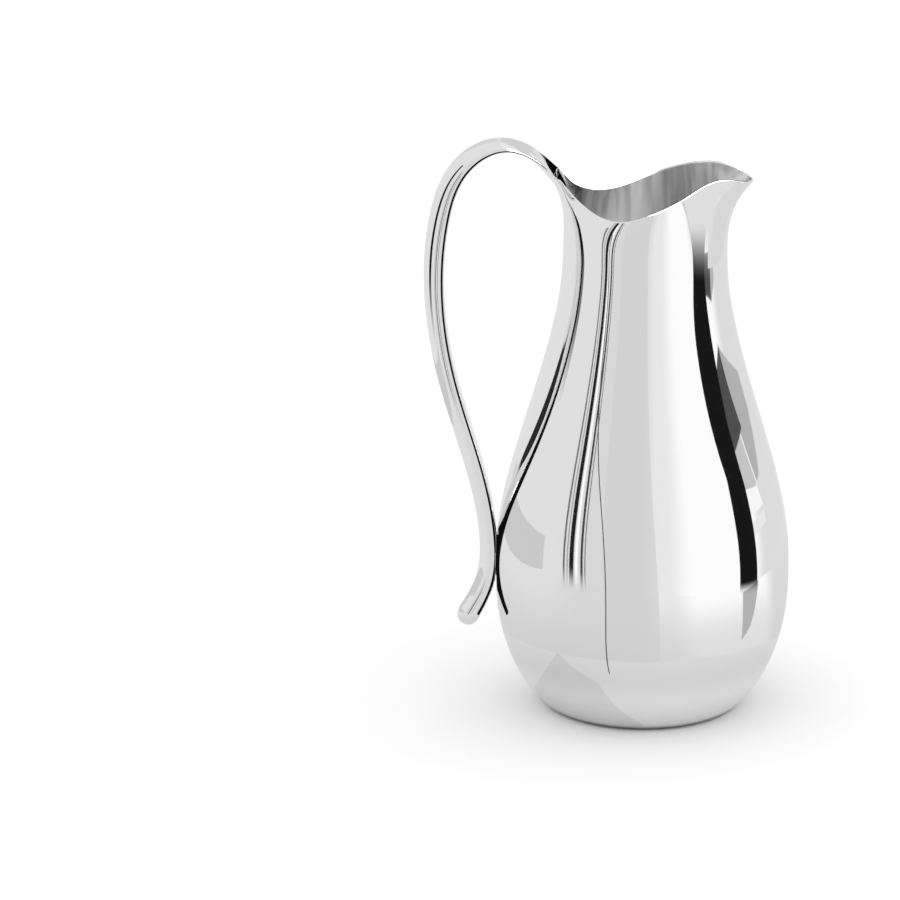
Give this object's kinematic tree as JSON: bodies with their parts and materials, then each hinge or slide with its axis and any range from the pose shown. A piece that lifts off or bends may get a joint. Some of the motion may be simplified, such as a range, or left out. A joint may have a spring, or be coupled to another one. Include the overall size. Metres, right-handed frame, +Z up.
{
  "type": "water pitcher",
  "caption": "Polished metal water pitcher: pear-shaped body on a flat base, S-curved mouth with a pouring lip, and a looped strap handle.",
  "frame": {"origin": "centre of the base, on the surface the pitcher stands on", "axes": "+Z up along the body's axis, +X towards the pouring lip, handle at -X"},
  "size_m": [0.1772, 0.1428, 0.2812],
  "materials": {
    "polished_metal": "mirror polished outside, satin brushed inside",
    "handle_metal": "mirror polished",
    "weld_metal": "ground and polished"
  },
  "bodies": {
    "root": {"base_disc": "polished_metal", "base_weld": "weld_metal", "belly_shell": "polished_metal", "girth_weld": "weld_metal", "spout_collar": "polished_metal", "handle_root_weld": "weld_metal", "handle": "handle_metal", "handle_foot_weld": "weld_metal"}
  },
  "joints": []
}
